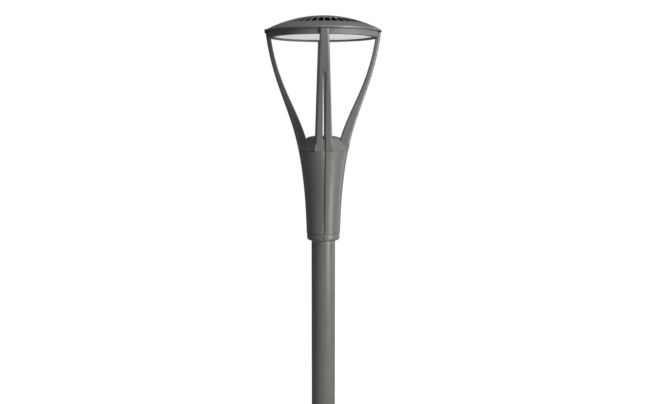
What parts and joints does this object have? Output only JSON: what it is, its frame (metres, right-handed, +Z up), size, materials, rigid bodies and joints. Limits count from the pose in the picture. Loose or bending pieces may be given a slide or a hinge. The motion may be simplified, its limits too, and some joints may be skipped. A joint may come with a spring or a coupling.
{
  "type": "street lamp post",
  "caption": "Street lamp post: cylindrical steel pole with base plate, flared conical gear housing, slotted curved arms and a shallow domed post-top LED head with a hinged canopy.",
  "frame": {"origin": "centre of the base plate's underside, on the pole's axis, at ground level", "axes": "+Z up along the pole; one arm points along -Y (the front), the service door of the pole faces +Y, the canopy's hinge is at -X and its latch at +X"},
  "size_m": [0.5525, 0.55, 4.063],
  "materials": {
    "pole_paint": "satin grey powder coat",
    "housing_paint": "satin grey powder coat",
    "casting_paint": "satin grey powder coat on cast aluminium",
    "canopy_paint": "satin grey powder coat",
    "hot_dip_steel": "galvanised, dull spangle",
    "plate_paint": "satin grey powder coat",
    "bare_aluminium": "die cast, matt",
    "stainless": "fine brushed",
    "black_metal": "matt black",
    "opal_lens": "opal, translucent",
    "optic_plastic": "clear moulded",
    "black_rubber": "matt",
    "white_plastic": "matt",
    "grey_plastic": "matt",
    "red_plastic": "matt",
    "black_plastic": "matt",
    "board_white": "satin solder mask",
    "phosphor": "satin",
    "brass_stud": "satin",
    "cable_sheath": "matt sheath",
    "white_reflector": "satin white",
    "sink_aluminium": "dark anodised"
  },
  "bodies": {
    "post": {"base_plate": "plate_paint", "foot_weld": "plate_paint", "pole_base": "pole_paint", "pole_tube": "pole_paint", "spigot_adaptor": "pole_paint", "door_frame": "hot_dip_steel", "door_hinge_knuckles": "pole_paint", "door_hinge_pins": "stainless", "equipment_rail": "hot_dip_steel", "fuse_box": "grey_plastic", "breaker": "white_plastic", "terminal_block": "white_plastic", "earth_stud": "brass_stud", "pole_cable": "cable_sheath", "gear_frame": "bare_aluminium", "gear_keeper": "bare_aluminium", "collar_ring": "casting_paint", "grub_screws": "stainless", "panel_rear_left": "housing_paint", "panel_front_left": "housing_paint", "panel_front_right": "housing_paint", "gear_door_pin": "stainless", "panel_screws": "stainless", "gear_tray": "hot_dip_steel", "led_driver": "white_plastic", "surge_protector": "red_plastic", "tray_screws": "stainless", "hub_casting": "casting_paint", "arm_front": "casting_paint", "arm_right": "casting_paint", "arm_rear": "casting_paint", "arm_left": "casting_paint", "arm_foot_bolts": "stainless", "hub_bolts": "stainless", "rim_band": "casting_paint", "arm_tip_bolts": "stainless", "lens": "opal_lens", "lens_gasket": "black_rubber", "lens_clamp": "bare_aluminium", "clamp_screws": "stainless", "reflector": "white_reflector", "led_board": "board_white", "led_chips": "phosphor", "led_lenses": "optic_plastic", "board_connector": "white_plastic", "heat_sink": "sink_aluminium", "heat_sink_screws": "stainless", "head_gasket": "black_rubber", "head_cable": "cable_sheath", "hinge_bracket": "black_metal", "hinge_pin": "stainless", "latch_block": "casting_paint"},
    "canopy": {"canopy": "canopy_paint", "canopy_hinge_leaf": "black_metal"},
    "canopy_lock": {"canopy_lock": "black_metal"},
    "gear_door": {"gear_door": "housing_paint"},
    "gear_door_lock": {"gear_door_lock": "stainless"},
    "pole_door": {"pole_door": "pole_paint"},
    "pole_door_lock": {"pole_door_lock": "stainless"},
    "breaker_toggle": {"breaker_toggle": "black_plastic"}
  },
  "joints": [
    {"name": "canopy_hinge", "type": "hinge", "parent": "post", "child": "canopy", "pos_m": [-0.269, 0, 3.9925], "axis": [0, -1, 0], "range_deg": [0, 85]},
    {"name": "canopy_lock_turn", "type": "hinge", "parent": "canopy", "child": "canopy_lock", "pos_m": [0.266, 0, 3.9925], "axis": [0, 0, 1], "continuous": true},
    {"name": "gear_door_hinge", "type": "hinge", "parent": "post", "child": "gear_door", "pos_m": [0.0594, 0.0594, 3.034], "axis": [-0.7071, 0.7071, 0], "range_deg": [0, 55]},
    {"name": "gear_door_lock_turn", "type": "hinge", "parent": "gear_door", "child": "gear_door_lock", "pos_m": [0.07778, 0.07778, 3.397], "axis": [0.7071, 0.7071, 0], "continuous": true},
    {"name": "pole_door_hinge", "type": "hinge", "parent": "post", "child": "pole_door", "pos_m": [-0.04069, 0.04598, 0.68], "axis": [0, 0, 1], "range_deg": [0, 110]},
    {"name": "pole_door_lock_turn", "type": "hinge", "parent": "pole_door", "child": "pole_door_lock", "pos_m": [0, 0.05, 0.82], "axis": [0, 1, 0], "range_deg": [0, 180]},
    {"name": "breaker_toggle_rock", "type": "hinge", "parent": "post", "child": "breaker_toggle", "pos_m": [0, 0.027, 0.675], "axis": [1, 0, 0], "range_deg": [-40, 0]}
  ]
}
